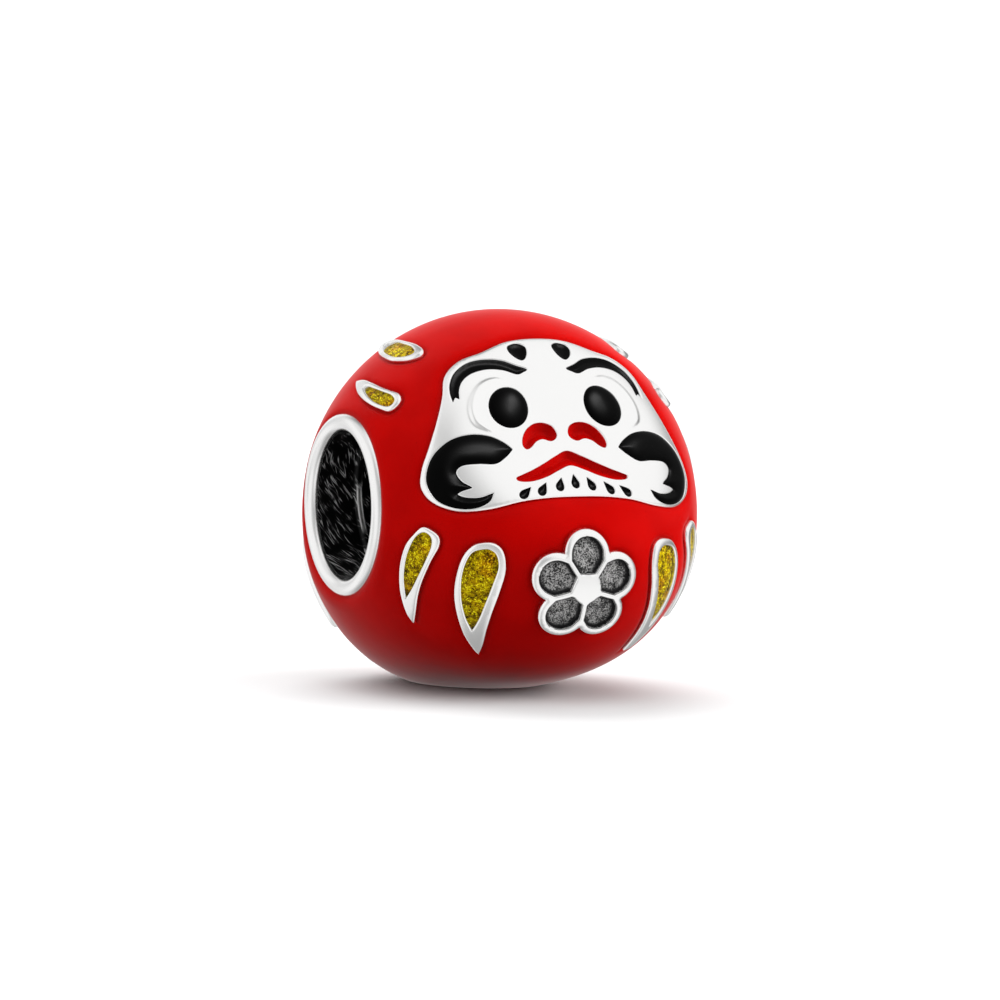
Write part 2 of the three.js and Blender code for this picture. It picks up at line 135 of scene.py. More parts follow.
DROP_RIMS = {
    "front_inner": outline("""
        28 -7, 31.5 -8.4, 34 -12.5, 35 -19, 34.6 -26, 32.5 -33, 29 -40, 25 -45, 22.6 -47.2 1, 22.8 -42,
        23.4 -35, 23.3 -28, 22.5 -21, 21.8 -14.5, 22.8 -9.6, 25 -7.3"""),
    "front_outer": outline("""
        46.5 -4, 49 -7.5, 51.2 -13, 52 -21, 51.4 -29, 49.5 -37, 46 -44.3, 42.5 -47.5 1, 43.4 -41,
        44.2 -33, 44 -25.5, 42.6 -17, 40.8 -10.5, 41.2 -7, 43.5 -4.9"""),
    "shoulder_upper": outline("""
        34.8 73.2, 37.6 74.5, 40 78, 41.6 84, 41.4 91, 40 98, 37.5 104, 34.8 106.5, 33 103, 33.2 96,
        33.4 88, 32.8 80, 33 75"""),
    "shoulder_lower": outline("""
        47.2 57, 49.6 55, 52.2 55.6, 54 60.5, 55.5 68, 56 77, 55.2 86, 53.2 93, 51.2 96.5 1, 50.4 90,
        50.3 82, 49.7 73, 48.3 66, 46.8 61"""),
}
DROP_GOLDS = {
    "front_inner": outline("""
        28.2 -9.2, 31.2 -10.6, 32.8 -14.5, 33.2 -20, 32.2 -26.5, 30 -32.5, 27.2 -37 1, 26.4 -31.5,
        25.8 -25.5, 24.8 -19, 24 -14, 24.8 -10.6, 26.4 -9.3"""),
    "front_outer": outline("""
        45.8 -6.2, 48.2 -8.8, 49.7 -14.5, 50.2 -21, 49.6 -28.5, 47.5 -37.3 1, 46.6 -31, 45.6 -24,
        44.3 -17, 43.2 -11, 43.6 -7.6"""),
    "shoulder_upper": outline("""
        35.6 76.5, 38 77.5, 40 82, 40.3 88, 39.4 94, 37.4 99, 35.4 101, 34.6 96, 34.8 88, 34.6 81"""),
    "shoulder_lower": outline("""
        48.9 58.6, 50.6 57.3, 52.2 59.5, 53.7 65, 54.3 71, 54 78, 52.9 83.5, 52 81.5, 51.4 75.5,
        50.3 68.5, 49 63"""),
}
BACK_TURN = -169  # around front and around back add up to this
for drops in (DROP_RIMS, DROP_GOLDS):
    for place in ("inner", "outer"):
        drops[f"back_{place}"] = [[p[0], BACK_TURN - p[1], *p[2:]] for p in drops[f"front_{place}"]]
CREST = {"around": -18, "petals": 5, "petal_distance": 9, "petal_radius": 6.6, "border": 2, "rib": 1.5}
PETAL_HOLLOW_START = 3.9
print("drops on each side:", len(DROP_RIMS), "whiskers:", len(WHISKERS))

# %% [markdown]
# ## The body's shape rule
# `reach` is the distance from the bore's middle to the red surface along a direction. The same rule
# is drawn again below as Geometry Nodes, which bend the flat pieces round the body. This copy only
# measures: it places the rings where the body meets the bore's collars.

# %% Shape rule in numbers
def ray(points):
    """Unit directions for rows of (across, around) in radians."""
    across, around = np.asarray(points, float).T
    return np.column_stack([
        np.sin(across),
        -np.cos(across) * np.cos(around),
        np.cos(across) * np.sin(around),
    ])


def smooth_min(a, b, blend):
    overlap = np.maximum(blend - np.abs(a - b), 0) / blend
    return np.minimum(a, b) - overlap ** 3 * blend / 6


def reach(rays):
    """Distance to the red surface in millimetres."""
    distance = np.full(len(rays), MEAN_RADIUS)
    for swell in SWELLS.values():
        towards = ray([(0, radians(swell["elevation"]))])[0]
        fade = 1 - cos(radians(swell["spread"]))
        distance = distance + swell["push"] * np.exp((rays @ towards - 1) / fade)
    side = SIDE_LIMIT / np.maximum(np.abs(rays[:, 0]), LEAST_COSINE)
    foot = BORE_HEIGHT / np.maximum(-rays[:, 2], LEAST_COSINE)
    return smooth_min(smooth_min(distance, side, SIDE_BLEND), foot, FOOT_BLEND)


for name, around in (("front", 0), ("crown", 90), ("back", 180), ("foot", -90)):
    print(name, "reach in mm:", round(float(reach(ray([(0, radians(around))]))[0]), 2))

# %% [markdown]
# ## Drawing outlines smoothly
# An outline is a closed Catmull-Rom curve through its points: each stretch starts and ends along the
# line that joins its neighbours, which rounds it without moving a point. At a marked corner the
# stretch heads straight for the next point instead. Stretches are cut into steps of equal length.

# %% Outline helpers
def mirrored(points):
    return [[-point[0], *point[1:]] for point in points]


def both_halves(half):
    """Closes a half outline whose ends lie on the middle plane."""
    return half + mirrored(half[-2:0:-1])


def turned_outward(loop):
    """The loop in the order that keeps its inside on the left."""
    x, y = loop.T
    area = np.sum(x * np.roll(y, -1) - np.roll(x, -1) * y)
    return loop if area > 0 else loop[::-1].copy()


def smooth(points, step=EDGE_STEP):
    """A closed loop in radians through the points, in steps of about one length."""
    count = len(points)
    flat = np.radians([point[:2] for point in points])
    corner = [len(point) > 2 and point[2] == 1 for point in points]
    loop = []
    for i in range(count):
        start, end = flat[i], flat[(i + 1) % count]
        leave = end - start if corner[i] else (end - flat[i - 1]) / 2
        arrive = end - start if corner[(i + 1) % count] else (flat[(i + 2) % count] - start) / 2
        length = MEAN_RADIUS * np.linalg.norm(end - start)
        steps = max(2, round(length / step))
        for t in np.arange(steps) / steps:
            loop.append(
                (2 * t**3 - 3 * t**2 + 1) * start + (t**3 - 2 * t**2 + t) * leave
                + (3 * t**2 - 2 * t**3) * end + (t**3 - t**2) * arrive
            )
    return turned_outward(np.array(loop))


def ellipse(centre, half_across, half_around, tilt):
    lean = radians(tilt)
    turn = np.arange(12) * tau / 12
    across, around = half_across * np.cos(turn), half_around * np.sin(turn)
    return np.column_stack([
        centre[0] + across * cos(lean) - around * sin(lean),
        centre[1] + across * sin(lean) + around * cos(lean),
    ]).tolist()


def almond(top, foot):
    """A whisker: sharp at its top, round at its foot."""
    along = np.subtract(foot, top)
    side = np.array([-along[1], along[0]]) / np.linalg.norm(along) * WHISKER_HALF_WIDTH
    shape = [(0, 0), (0.35, 0.6), (0.65, 1), (0.9, 0.75), (1, 0), (0.9, -0.75), (0.65, -1), (0.35, -0.6)]
    points = [list(top + along * far + side * wide) for far, wide in shape]
    points[0].append(1)
    return points


print("face outline steps:", len(smooth(both_halves(FACE_HALF))))

# %% [markdown]
# ## The crest
# The belly carries a raised badge. Here it is a plum blossom, a plain traditional pattern: five round
# petals, each with its own hollow. Both outlines follow from circles, so they need no drawn points.

# %% Crest outlines
def crest_outline():
    step = tau / CREST["petals"]
    turn = np.arange(CREST["petals"] * 30) * tau / (CREST["petals"] * 30)
    off = (turn + step / 2) % step - step / 2
    distance, radius = CREST["petal_distance"], CREST["petal_radius"]
    far = distance * np.cos(off) + np.sqrt(radius**2 - (distance * np.sin(off)) ** 2)
    loop = np.column_stack([far * np.sin(turn), CREST["around"] + far * np.cos(turn)])
    return turned_outward(np.radians(loop))


def petal_outline(index):
    turn = index * tau / CREST["petals"]
    distance, radius = CREST["petal_distance"], CREST["petal_radius"] - CREST["border"]
    far = np.linspace(PETAL_HOLLOW_START, distance + radius, 40)
    arc = np.sqrt(np.clip(radius**2 - np.maximum(far - distance, 0) ** 2, 0, None))
    wide = np.minimum(arc, far * tan(pi / CREST["petals"]) - CREST["rib"] / 2)
    far, wide = np.append(far, far[-2::-1]), np.append(wide, -wide[-2::-1])
    return turned_outward(np.radians(np.column_stack([
        far * sin(turn) + wide * cos(turn),
        CREST["around"] + far * cos(turn) - wide * sin(turn),
    ])))


# %% [markdown]
# ## Patches between outlines
# A patch is a net of triangles that fills the space between outlines. Its points lie on the outlines,
# on a few rings just inside them, where edges are rounded, and on an even net elsewhere. Blender's
# constrained triangulation joins them. It works on a plane that keeps angles true, so that the
# triangles stay even all the way to the bore's mouths.

# %% Patch helpers
def unfold(points):
    """(across, around) laid on the plane that keeps angles true."""
    return np.column_stack([np.arcsinh(np.tan(points[:, 0])), points[:, 1]])


def fold(rays):
    return np.column_stack([np.arcsin(np.clip(rays[:, 0], -1, 1)), np.arctan2(rays[:, 2], -rays[:, 1])])


def inset(loop, distance):
    """The loop's points moved to its left by a distance in millimetres."""
    rays = ray(loop)
    along = np.roll(rays, -1, 0) - np.roll(rays, 1, 0)
    left = np.cross(rays, along)
    left /= np.linalg.norm(left, axis=1)[:, None]
    moved = rays + left * (distance / reach(rays))[:, None]
    return fold(moved / np.linalg.norm(moved, axis=1)[:, None])


def inside(points, loops):
    """Whether each point lies within an odd number of loops, on the unfolded plane."""
    result = np.zeros(len(points), bool)
    for loop in loops:
        low, high = loop.min(0), loop.max(0)
        near = np.flatnonzero(np.all((points >= low) & (points <= high), axis=1))
        ends = np.roll(loop, -1, 0)
        for part in np.array_split(near, max(1, len(near) * len(loop) // 4_000_000)):
            x, y = points[part, 0][:, None], points[part, 1][:, None]
            spans = (loop[:, 1] > y) != (ends[:, 1] > y)
            rise = np.where(ends[:, 1] == loop[:, 1], 1, ends[:, 1] - loop[:, 1])
            cross = (ends[:, 0] - loop[:, 0]) * (y - loop[:, 1]) / rise + loop[:, 0]
            result[part] ^= (np.sum(spans & (x < cross), axis=1) % 2).astype(bool)
    return result


def distance_to(edge_points):
    """A measure of the distance in millimetres to the nearest of some edge points."""
    tree = KDTree(len(edge_points))
    for i, spot in enumerate(ray(edge_points)):
        tree.insert(spot, i)
    tree.balance()

    def measure(points):
        rays = ray(points)
        near = np.array([tree.find(spot)[2] for spot in rays])
        return near * reach(rays)

    return measure


class Patch:
    """Triangles between an outer loop and its holes, in (across, around), with distances to the edge.

    Where the outer loop also runs along a seam, `band` holds its true edges.
    """

    RING_SLACK = 0.96
    NET_CLEARANCE = 0.55
    ROW_HEIGHT = 0.87

    def __init__(self, outer, holes=(), spacing=0.2, rings=(), band=None):
        loops = [outer, *holes]
        measure = distance_to(np.vstack([*holes, outer if band is None else band]))
        extra = []
        for ring in rings:
            if band is None:
                edge = inset(outer, ring)
            else:
                edge = band - np.sign(band) * [ring / MEAN_RADIUS, 0]
            for spots in (edge, *[inset(hole, -ring) for hole in holes]):
                extra.append(spots[measure(spots) > self.RING_SLACK * ring])
        net = self.even_net(outer, spacing)
        clear = max(rings, default=0) + self.NET_CLEARANCE * spacing
        extra = np.vstack([*extra, net[measure(net) > clear]])
        flat_loops = [unfold(loop) for loop in loops]
        extra = extra[inside(unfold(extra), flat_loops)]
        self.points = np.vstack([*loops, extra])
        flat = unfold(self.points)
        pairs, first = [], 0
        self.loop_ids = []
        for loop in loops:
            ids = np.arange(first, first + len(loop))
            pairs += list(zip(ids.tolist(), np.roll(ids, -1).tolist()))
            self.loop_ids.append(ids)
            first += len(loop)
        result = delaunay_2d_cdt([Vector(p) for p in flat], pairs, [], 1, 1e-9, False)
        if len(result[0]) != len(flat):
            raise ValueError("two outlines touch")
        faces = np.array(result[2])
        keep = inside(flat[faces].mean(1), flat_loops)
        self.faces = faces[keep]
        self.depth = measure(self.points)

    def even_net(self, outer, spacing):
        """Rows of points an even distance apart; every second row is shifted by half a step."""
        low, high = outer.min(0), outer.max(0)
        step = spacing / MEAN_RADIUS
        rows = []
        for k, across in enumerate(np.arange(low[0] + step / 2, high[0], step * self.ROW_HEIGHT)):
            gap = step / cos(across)
            around = np.arange(low[1] + gap * (0.25 + 0.5 * (k % 2)), high[1] - gap * 0.2, gap)
            rows.append(np.column_stack([np.full(len(around), across), around]))
        return np.vstack(rows)


# %% [markdown]
# ## Shells
# A piece of metal or enamel is a closed shell: a top patch, a bottom patch, and a wall that joins
# them along every outline. `Pile` gathers them as (across, around, height) and keeps every face
# pointing out of the material.

# %% Shell helpers
def zoned_mesh(name, points, faces, zones):
    """A mesh whose points also keep a `zone` value, which the finishes read."""
    mesh = bpy.data.meshes.new(name)
    mesh.from_pydata(points.tolist(), [], faces)
    mesh.attributes.new("zone", "FLOAT", "POINT").data.foreach_set("value", zones.astype(np.float32))
    return mesh


class Pile:
    def __init__(self):
        self.points, self.faces, self.zones = [], [], []
        self.count = 0

    def add(self, patch, height, zone=0.0, facing_out=True):
        """Adds a patch at a height in millimetres, and returns the numbers of its loops' points."""
        tall = np.broadcast_to(height, len(patch.points))
        self.points.append(np.column_stack([patch.points, tall * MM]))
        self.zones.append(np.broadcast_to(zone, len(patch.points)))
        faces = patch.faces if facing_out else patch.faces[:, ::-1]
        self.faces += (faces + self.count).tolist()
        ids = [loop + self.count for loop in patch.loop_ids]
        self.count += len(patch.points)
        return ids

    def wall(self, high, low, facing_out=True, closed=True):
        """Joins two matching loops, or two open lines of points."""
        quads = np.column_stack([low, np.roll(low, -1), np.roll(high, -1), high])
        quads = quads if closed else quads[:-1]
        self.faces += (quads if facing_out else quads[:, ::-1]).tolist()

    def mesh(self, name):
        return zoned_mesh(name, np.vstack(self.points), self.faces, np.concatenate(self.zones))


def rounded(depth, radius):
    """How far a rounded edge lies below the top, at a distance from the edge."""
    near = np.clip(1 - depth / radius, 0, 1)
    return radius * (1 - np.sqrt(1 - near**2))


def ring_steps(radius):
    """Ring distances that follow a rounded edge evenly."""
    return [radius * (1 - cos(radians(angle))) for angle in (35, 62, 90)] + [1.7 * radius]


# %% [markdown]
# ## One class for drawing nodes
# `Wire` holds one output in a node tree. Plus, minus and the like add Math nodes, so that a formula
# reads as a formula, and `node` adds any other node.

# %% Node helper
class Wire:
    def __init__(self, tree, socket=None):
        self.tree = tree
        self.socket = socket

    def node(self, kind, inputs=None, output=0, **settings):
        made = self.tree.nodes.new(kind)
        for name, value in settings.items():
            setattr(made, name, value)
        for key, value in (inputs or {}).items():
            if isinstance(value, Wire):
                self.tree.links.new(value.socket, made.inputs[key])
            else:
                made.inputs[key].default_value = value
        return Wire(self.tree, made.outputs[output]) if made.outputs else None

    def out(self, output):
        return Wire(self.tree, self.socket.node.outputs[output])

    def math(self, operation, *values):
        return self.node("ShaderNodeMath", dict(enumerate(values)), operation=operation)

    def __add__(self, other):
        return self.math("ADD", self, other)

    def __sub__(self, other):
        return self.math("SUBTRACT", self, other)

    def __rsub__(self, other):
        return self.math("SUBTRACT", other, self)

    def __mul__(self, other):
        return self.math("MULTIPLY", self, other)

    def __truediv__(self, other):
        return self.math("DIVIDE", self, other)

    __radd__ = __add__

    def xyz(self, **parts):
        return self.node("ShaderNodeCombineXYZ", parts)

    def vector_math(self, operation, inputs, output=0):
        return self.node("ShaderNodeVectorMath", inputs, output, operation=operation)

    def smoothstep(self, low, high):
        limits = {"Value": self, "From Min": low, "From Max": high}
        return self.node("ShaderNodeMapRange", limits, interpolation_type="SMOOTHSTEP")


# %% [markdown]
# ## Wrapping pieces round the body
# Geometry Nodes turn (across, around, height) into a place on the body. The tree holds the whole
# shape rule, with an input for each size, so every piece is bent by the same rule.

# %% Geometry Nodes: shared steps
SOCKET_KINDS = {type(None): "NodeSocketMaterial", float: "NodeSocketFloat", int: "NodeSocketInt"}


def new_geometry_tree(name, inputs):
    """An empty tree, and the wire that its inputs come from. An input of None is a material."""
    tree = bpy.data.node_groups.new(name, "GeometryNodeTree")
    tree.interface.new_socket("Geometry", in_out="INPUT", socket_type="NodeSocketGeometry")
    tree.interface.new_socket("Geometry", in_out="OUTPUT", socket_type="NodeSocketGeometry")
    for label, value in inputs.items():
        socket = tree.interface.new_socket(label, in_out="INPUT", socket_type=SOCKET_KINDS[type(value)])
        if value is not None:
            socket.default_value = value
    return tree, Wire(tree, tree.nodes.new("NodeGroupInput").outputs[0])


def coloured(geometry, finish):
    """The geometry made real, with a material."""
    whole = geometry.node("GeometryNodeRealizeInstances", {0: geometry})
    return whole.node("GeometryNodeSetMaterial", {0: whole, "Material": finish})


def joined(*parts):
    both = parts[0].node("GeometryNodeJoinGeometry")
    for part in parts:
        both.tree.links.new(part.socket, both.socket.node.inputs[0])
    return both


def stored(geometry, domain, name, value):
    """The geometry with a value kept on it, for a finish to read."""
    inputs = {"Geometry": geometry, "Name": name, "Value": value}
    return geometry.node("GeometryNodeStoreNamedAttribute", inputs, data_type="FLOAT", domain=domain)


def close_tree(tree, geometry):
    tree.links.new(geometry.socket, tree.nodes.new("NodeGroupOutput").inputs[0])
    return tree


# %% [markdown]
# The wrap itself: the angles give a direction, the rule gives the distance along it, and the height
# is added on top.

# %% Geometry Nodes: wrap round the bore
def wrap_tree():
    inputs = {
        "Finish": None,
        "Bore height": BORE_HEIGHT * MM,
        "Mean radius": MEAN_RADIUS * MM,
        "Side limit": SIDE_LIMIT * MM,
        "Side blend": SIDE_BLEND * MM,
        "Foot blend": FOOT_BLEND * MM,
    }
    for name, swell in SWELLS.items():
        inputs[f"{name} push"] = swell["push"] * MM
    tree, entry = new_geometry_tree("wrap round the bore", inputs)
    split = entry.node("ShaderNodeSeparateXYZ", {0: entry.node("GeometryNodeInputPosition")})
    across, around, height = split.out("X"), split.out("Y"), split.out("Z")
    x = entry.math("SINE", across)
    level = entry.math("COSINE", across)
    y = level * entry.math("COSINE", around) * -1
    z = level * entry.math("SINE", around)
    distance = entry.out("Mean radius")
    for name, swell in SWELLS.items():
        elevation = radians(swell["elevation"])
        closeness = y * -cos(elevation) + z * sin(elevation)
        fade = 1 - cos(radians(swell["spread"]))
        distance = distance + entry.out(f"{name} push") * entry.math("EXPONENT", (closeness - 1) / fade)
    side = entry.out("Side limit") / entry.math("MAXIMUM", entry.math("ABSOLUTE", x), LEAST_COSINE)
    distance = entry.math("SMOOTH_MIN", distance, side, entry.out("Side blend"))
    foot = entry.out("Bore height") / entry.math("MAXIMUM", z * -1, LEAST_COSINE)
    distance = entry.math("SMOOTH_MIN", distance, foot, entry.out("Foot blend"))
    place = entry.vector_math("SCALE", {0: entry.xyz(X=x, Y=y, Z=z), "Scale": distance + height})
    lifted = entry.vector_math("ADD", {0: place, 1: entry.xyz(Z=entry.out("Bore height"))})
    moved = entry.node("GeometryNodeSetPosition", {"Geometry": entry, "Position": lifted})
    return close_tree(tree, coloured(moved, entry.out("Finish")))


WRAP = wrap_tree()


def run_tree(item, tree, **values):
    """Runs a tree on an object, keeps the result as its plain mesh, and removes the modifier."""
    modifier = item.modifiers.new(tree.name, "NODES")
    modifier.node_group = tree
    sockets = {s.name: s.identifier for s in tree.interface.items_tree if s.in_out == "INPUT"}
    for label, value in values.items():
        modifier[sockets[label.replace("_", " ")]] = value
    evaluated = item.evaluated_get(bpy.context.evaluated_depsgraph_get())
    made = bpy.data.meshes.new_from_object(evaluated)
    item.modifiers.remove(modifier)
    item.data = made


def new_object(name, data):
    item = bpy.data.objects.new(name, data)
    bpy.context.scene.collection.objects.link(item)
    return item


def finished(name, mesh, material, tree=WRAP):
    """An object at the origin, bent round the body (or shaped by another tree) and shaded smoothly."""
    item = new_object(name, mesh)
    run_tree(item, tree, Finish=material)
    item.data.shade_smooth()
    item.data.set_sharp_from_angle(angle=radians(SHARP_ANGLE))
    print(name, "faces:", len(item.data.polygons))
    return item


# %% [markdown]
# ## Silver
# Polished silver is nearly white and mirrors what is round it, softened by fine polishing marks. Two
# noises break up the mirror: a broad one that makes some areas duller, and a fine one for the marks.
# Hollows that are blackened on purpose use the piece's `zone` value, which is 1 on their floors. Near
# their walls it rises towards 2, where shade is painted: the floor stays full black, with no worn grey.

# %% Silver finish
def new_material(name):
    material = bpy.data.materials.new(name)
    material.use_nodes = True
    material.node_tree.nodes.clear()
    return material, Wire(material.node_tree)


def surface(start, inputs):
    """Gives a material its one Principled surface."""
    shader = start.node("ShaderNodeBsdfPrincipled", inputs)
    start.node("ShaderNodeOutputMaterial", {"Surface": shader})


def kept_value(start, name):
    """A value that the piece keeps on its points."""
    return start.node("ShaderNodeAttribute", output="Fac", attribute_name=name)


def bumps(start, height, distance):
    return start.node("ShaderNodeBump", {"Height": height, "Distance": distance * MM})


def noise(start, size, detail=2.0, where=None):
    """Noise with features of about a size in millimetres."""
    place = where or start.node("ShaderNodeTexCoord", output="Object")
    return start.node("ShaderNodeTexNoise", {"Vector": place, "Scale": 1 / (size * MM), "Detail": detail})


def blend_colours(start, share, low, high, kind="MIX"):
    inputs = {"Factor": share, 6: low, 7: high}
    return start.node("ShaderNodeMix", inputs, output=2, data_type="RGBA", blend_type=kind)


def silver():
    material, start = new_material("polished silver")
    zone = kept_value(start, "zone")
    dull = noise(start, 0.9, 3)
    marks = noise(start, 0.035, 2)
    grain = noise(start, 0.04, 3)
    blotch = noise(start, 0.22, 2)
    black = zone.smoothstep(0.35, 0.65)
    # Painted shade: a zone above 1 lies near the walls of the crest's hollows, where the worn grey is left
    # out.
    corner = (zone - 1).smoothstep(0.0, 0.9)
    worn = (grain * 0.75 + blotch * 0.35).smoothstep(0.47, 0.68) * (1 - corner)
    tarnish = blend_colours(start, worn, (0.006, 0.006, 0.0065, 1), (0.42, 0.415, 0.41, 1))
    bright = blend_colours(start, dull, (0.925, 0.922, 0.915, 1), (0.955, 0.952, 0.945, 1))
    colour = blend_colours(start, black, bright, tarnish)
    surface(start, {
        "Base Color": colour,
        "Metallic": 1 - black * 0.3,
        "Roughness": 0.2 + dull * 0.07 + black * 0.18,
        "Normal": bumps(start, marks * (1 - black) * 0.05 + grain * black, 0.03),
    })
    return material


SILVER = silver()

# %% [markdown]
# ## Enamel
# Opaque enamel is coloured glass: an even colour under a smooth gloss, with a surface that is very
# slightly wavy from the kiln. The gloss is kept weak, so that the white surround doesn't wash out the
# depth of the colour. A broad, faint bump gives the waves.

# %% Enamel finishes
def enamel(name, deep, light, roughness, gloss):
    material, start = new_material(name)
    cloud = noise(start, 1.6, 3)
    speck = noise(start, 0.07, 1).smoothstep(0.74, 0.8)
    waves = noise(start, 0.9, 1)
    colour = blend_colours(start, cloud.smoothstep(0.3, 0.7), deep, light)
    speckled = blend_colours(start, speck * 0.35, colour, tuple(0.3 * c for c in deep[:3]) + (1,))
    surface(start, {
        "Base Color": speckled,
        "Roughness": roughness + cloud * 0.04,
        "Specular IOR Level": gloss,
        "Normal": bumps(start, waves, 0.004),
    })
    return material


RED = enamel("red enamel", (0.225, 0.0003, 0.0001, 1), (0.26, 0.0005, 0.0002, 1), 0.28, 0.014)
BLACK = enamel("black enamel", (0.0002, 0.0002, 0.0002, 1), (0.0004, 0.0004, 0.0004, 1), 0.27, 0.025)

# %% [markdown]
# ## Gold glitter
# The gold fields are clear enamel full of glitter. The bed is an olive-gold glass, and thousands of
# small flakes lie in it, each tilted its own way and with its own tone. Geometry Nodes scatter the
# flakes, because a painted pattern could not catch the light one flake at a time.

# %% Glitter finishes
GLITTER_STOPS = [
    (0.08, (0.012, 0.01, 0.0, 1)), (0.28, (0.13, 0.08, 0.0, 1)), (0.48, (0.31, 0.205, 0.0, 1)),
    (0.7, (0.47, 0.38, 0.0, 1)), (0.92, (0.85, 0.78, 0.02, 1)),
]


def glitter(name, tone_of, metallic, roughness):
    """Flakes and bed share one colour scale; brown and olive patches drift across the field."""
    material, start = new_material(name)
    patch = noise(start, 0.2, 4).smoothstep(0.3, 0.7)
    tone = tone_of(start) * 0.95 + patch * 0.36 - 0.14
    gold = start.node("ShaderNodeValToRGB", {"Fac": tone})
    ramp = gold.socket.node.color_ramp
    while len(ramp.elements) < len(GLITTER_STOPS):
        ramp.elements.new(0.5)
    for element, (position, colour) in zip(ramp.elements, GLITTER_STOPS):
        element.position, element.color = position, colour
    hue = noise(start, 0.45, 1).smoothstep(0.45, 0.75)
    tinted = blend_colours(start, hue, gold, (1.0, 0.72, 0.6, 1), "MULTIPLY")
    surface(start, {
        "Base Color": tinted, "Roughness": roughness, "Metallic": metallic, "Specular IOR Level": 0.05})
    return material


GLITTER_BED = glitter("glitter bed", lambda start: noise(start, 0.05, 2) * 0.8, 0.2, 0.4)
GLITTER_FLAKE = glitter("glitter flake", lambda start: kept_value(start, "tone"), 0.6, 0.32)

# %% [markdown]
# Flakes are thin hexagons, dropped on the field's top (zone 1) a least distance apart. Each gets its
# own turn, tilt, size and tone, all drawn from one seed.

# %% Geometry Nodes: scatter flakes
ANY_TURN = 3.14
DENSE_ENOUGH = 9e8


def flake_tree():
    inputs = {
        "Finish": None,
        "Flake finish": None,
        "Spacing": 0.036 * MM,
        "Flake radius": 0.029 * MM,
        "Tilt": 0.42,
        "Seed": 4,
    }
    tree, entry = new_geometry_tree("scatter flakes", inputs)
    tilt, seed = entry.out("Tilt"), entry.out("Seed")

    def drawn(low, high, step):
        inputs = {2: low, 3: high, "Seed": seed + step}
        return entry.node("FunctionNodeRandomValue", inputs, output=1, data_type="FLOAT")

    zone = entry.node("GeometryNodeInputNamedAttribute", {"Name": "zone"}, data_type="FLOAT")
    spots = entry.node(
        "GeometryNodeDistributePointsOnFaces",
        {"Mesh": entry, "Selection": entry.math("GREATER_THAN", zone, 0.9), "Seed": seed,
         "Distance Min": entry.out("Spacing"), "Density Max": DENSE_ENOUGH}, distribute_method="POISSON")
    flake = entry.node(
        "GeometryNodeMeshCircle", {"Vertices": 6, "Radius": entry.out("Flake radius")}, fill_type="NGON")
    turn = entry.node(
        "FunctionNodeRandomValue",
        {0: entry.xyz(X=tilt * -1, Y=tilt * -1, Z=-ANY_TURN), 1: entry.xyz(X=tilt, Y=tilt, Z=ANY_TURN),
         "Seed": seed}, data_type="FLOAT_VECTOR")
    placed = entry.node("GeometryNodeInstanceOnPoints", {
        "Points": spots, "Instance": flake, "Rotation": spots.out("Rotation"), "Scale": drawn(0.6, 1.25, 1)})
    turned = entry.node(
        "GeometryNodeRotateInstances", {"Instances": placed, "Rotation": turn, "Local Space": True})
    toned = stored(turned, "INSTANCE", "tone", drawn(0.0, 1.0, 2))
    bed = entry.node("GeometryNodeSetMaterial", {0: entry, "Material": entry.out("Finish")})
    return close_tree(tree, joined(bed, coloured(toned, entry.out("Flake finish"))))


FLAKES = flake_tree()

# %% [markdown]
# ## The silver casting
# The casting is one closed surface with steps: the ground under the red coat, the raised face plate
# and drop rims, and the floors of the enamel pockets. Every step is a wall between two patches that
# share an outline. Its inside is hollow.

# %% [markdown]
# First all outlines become smooth loops. The left ones are the right ones with `across` turned round.

# %% All outlines as smooth loops
face_loop = smooth(both_halves(FACE_HALF))
crest_loop = crest_outline()
fields = {"mouth_enamel": smooth(both_halves(MOUTH_HALF))}
for number, (top, foot) in enumerate(WHISKERS, 1):
    fields[f"chin_whisker_{number}"] = smooth(almond(top, foot), WHISKER_STEP)
small = {"brow": BROW, "forehead_spot": FOREHEAD_SPOT, "cheek_beard": CHEEK_BEARD, "nostril": NOSTRIL}
golds, rims, lids = {}, {}, {}
for side, turn in (("left", mirrored), ("right", list)):
    fields[f"eye_{side}"] = smooth(turn(ellipse(**EYE)))
    for part, points in small.items():
        fields[f"{part}_{side}"] = smooth(turn(points), SMALL_STEP)
    lids[side] = smooth(turn(EYELID))
    for place in DROP_RIMS:
        rims[f"gold_{place}_{side}"] = smooth(turn(DROP_RIMS[place]))
        golds[f"gold_{place}_{side}"] = smooth(turn(DROP_GOLDS[place]))
print("fields in the face plate:", len(fields), "gold drops:", len(golds))

# %% [markdown]
# Towards the collars a layer of the body ends in a ring at each mouth. `band_loops` gives the outline
# of the whole unrolled layer, with a seam at the back that closes again when it is wrapped.

# %% Where the body meets the collars
RING_STEPS = 150
SEAM_STEPS = 54


def mouth_ring(height, radius):
    """(across, around) of the circle at a radius from the bore axis, on a layer of the body."""
    around = np.linspace(-pi, pi, RING_STEPS + 1)
    low, high = np.full(RING_STEPS + 1, radians(40)), np.full(RING_STEPS + 1, radians(80))
    for _ in range(30):
        middle = (low + high) / 2
        off_axis = (reach(ray(np.column_stack([middle, around]))) + height) * np.cos(middle)
        low = np.where(off_axis > radius, middle, low)
        high = np.where(off_axis > radius, high, middle)
    return np.column_stack([low, around])


def band_loops(height, radius):
    """The whole body between its two mouths: the outer loop, and the two rings on it."""
    right = mouth_ring(height, radius)
    left = right * [-1, 1]
    seam = np.linspace(-1, 1, SEAM_STEPS + 2)[1:-1]
    start = np.column_stack([seam * right[0, 0], np.full(SEAM_STEPS, -pi)])
    end = np.column_stack([-seam * right[-1, 0], np.full(SEAM_STEPS, pi)])
    outer = np.vstack([left[:1], start, right, end, left[1:][::-1]])
    return outer, np.vstack([left, right])


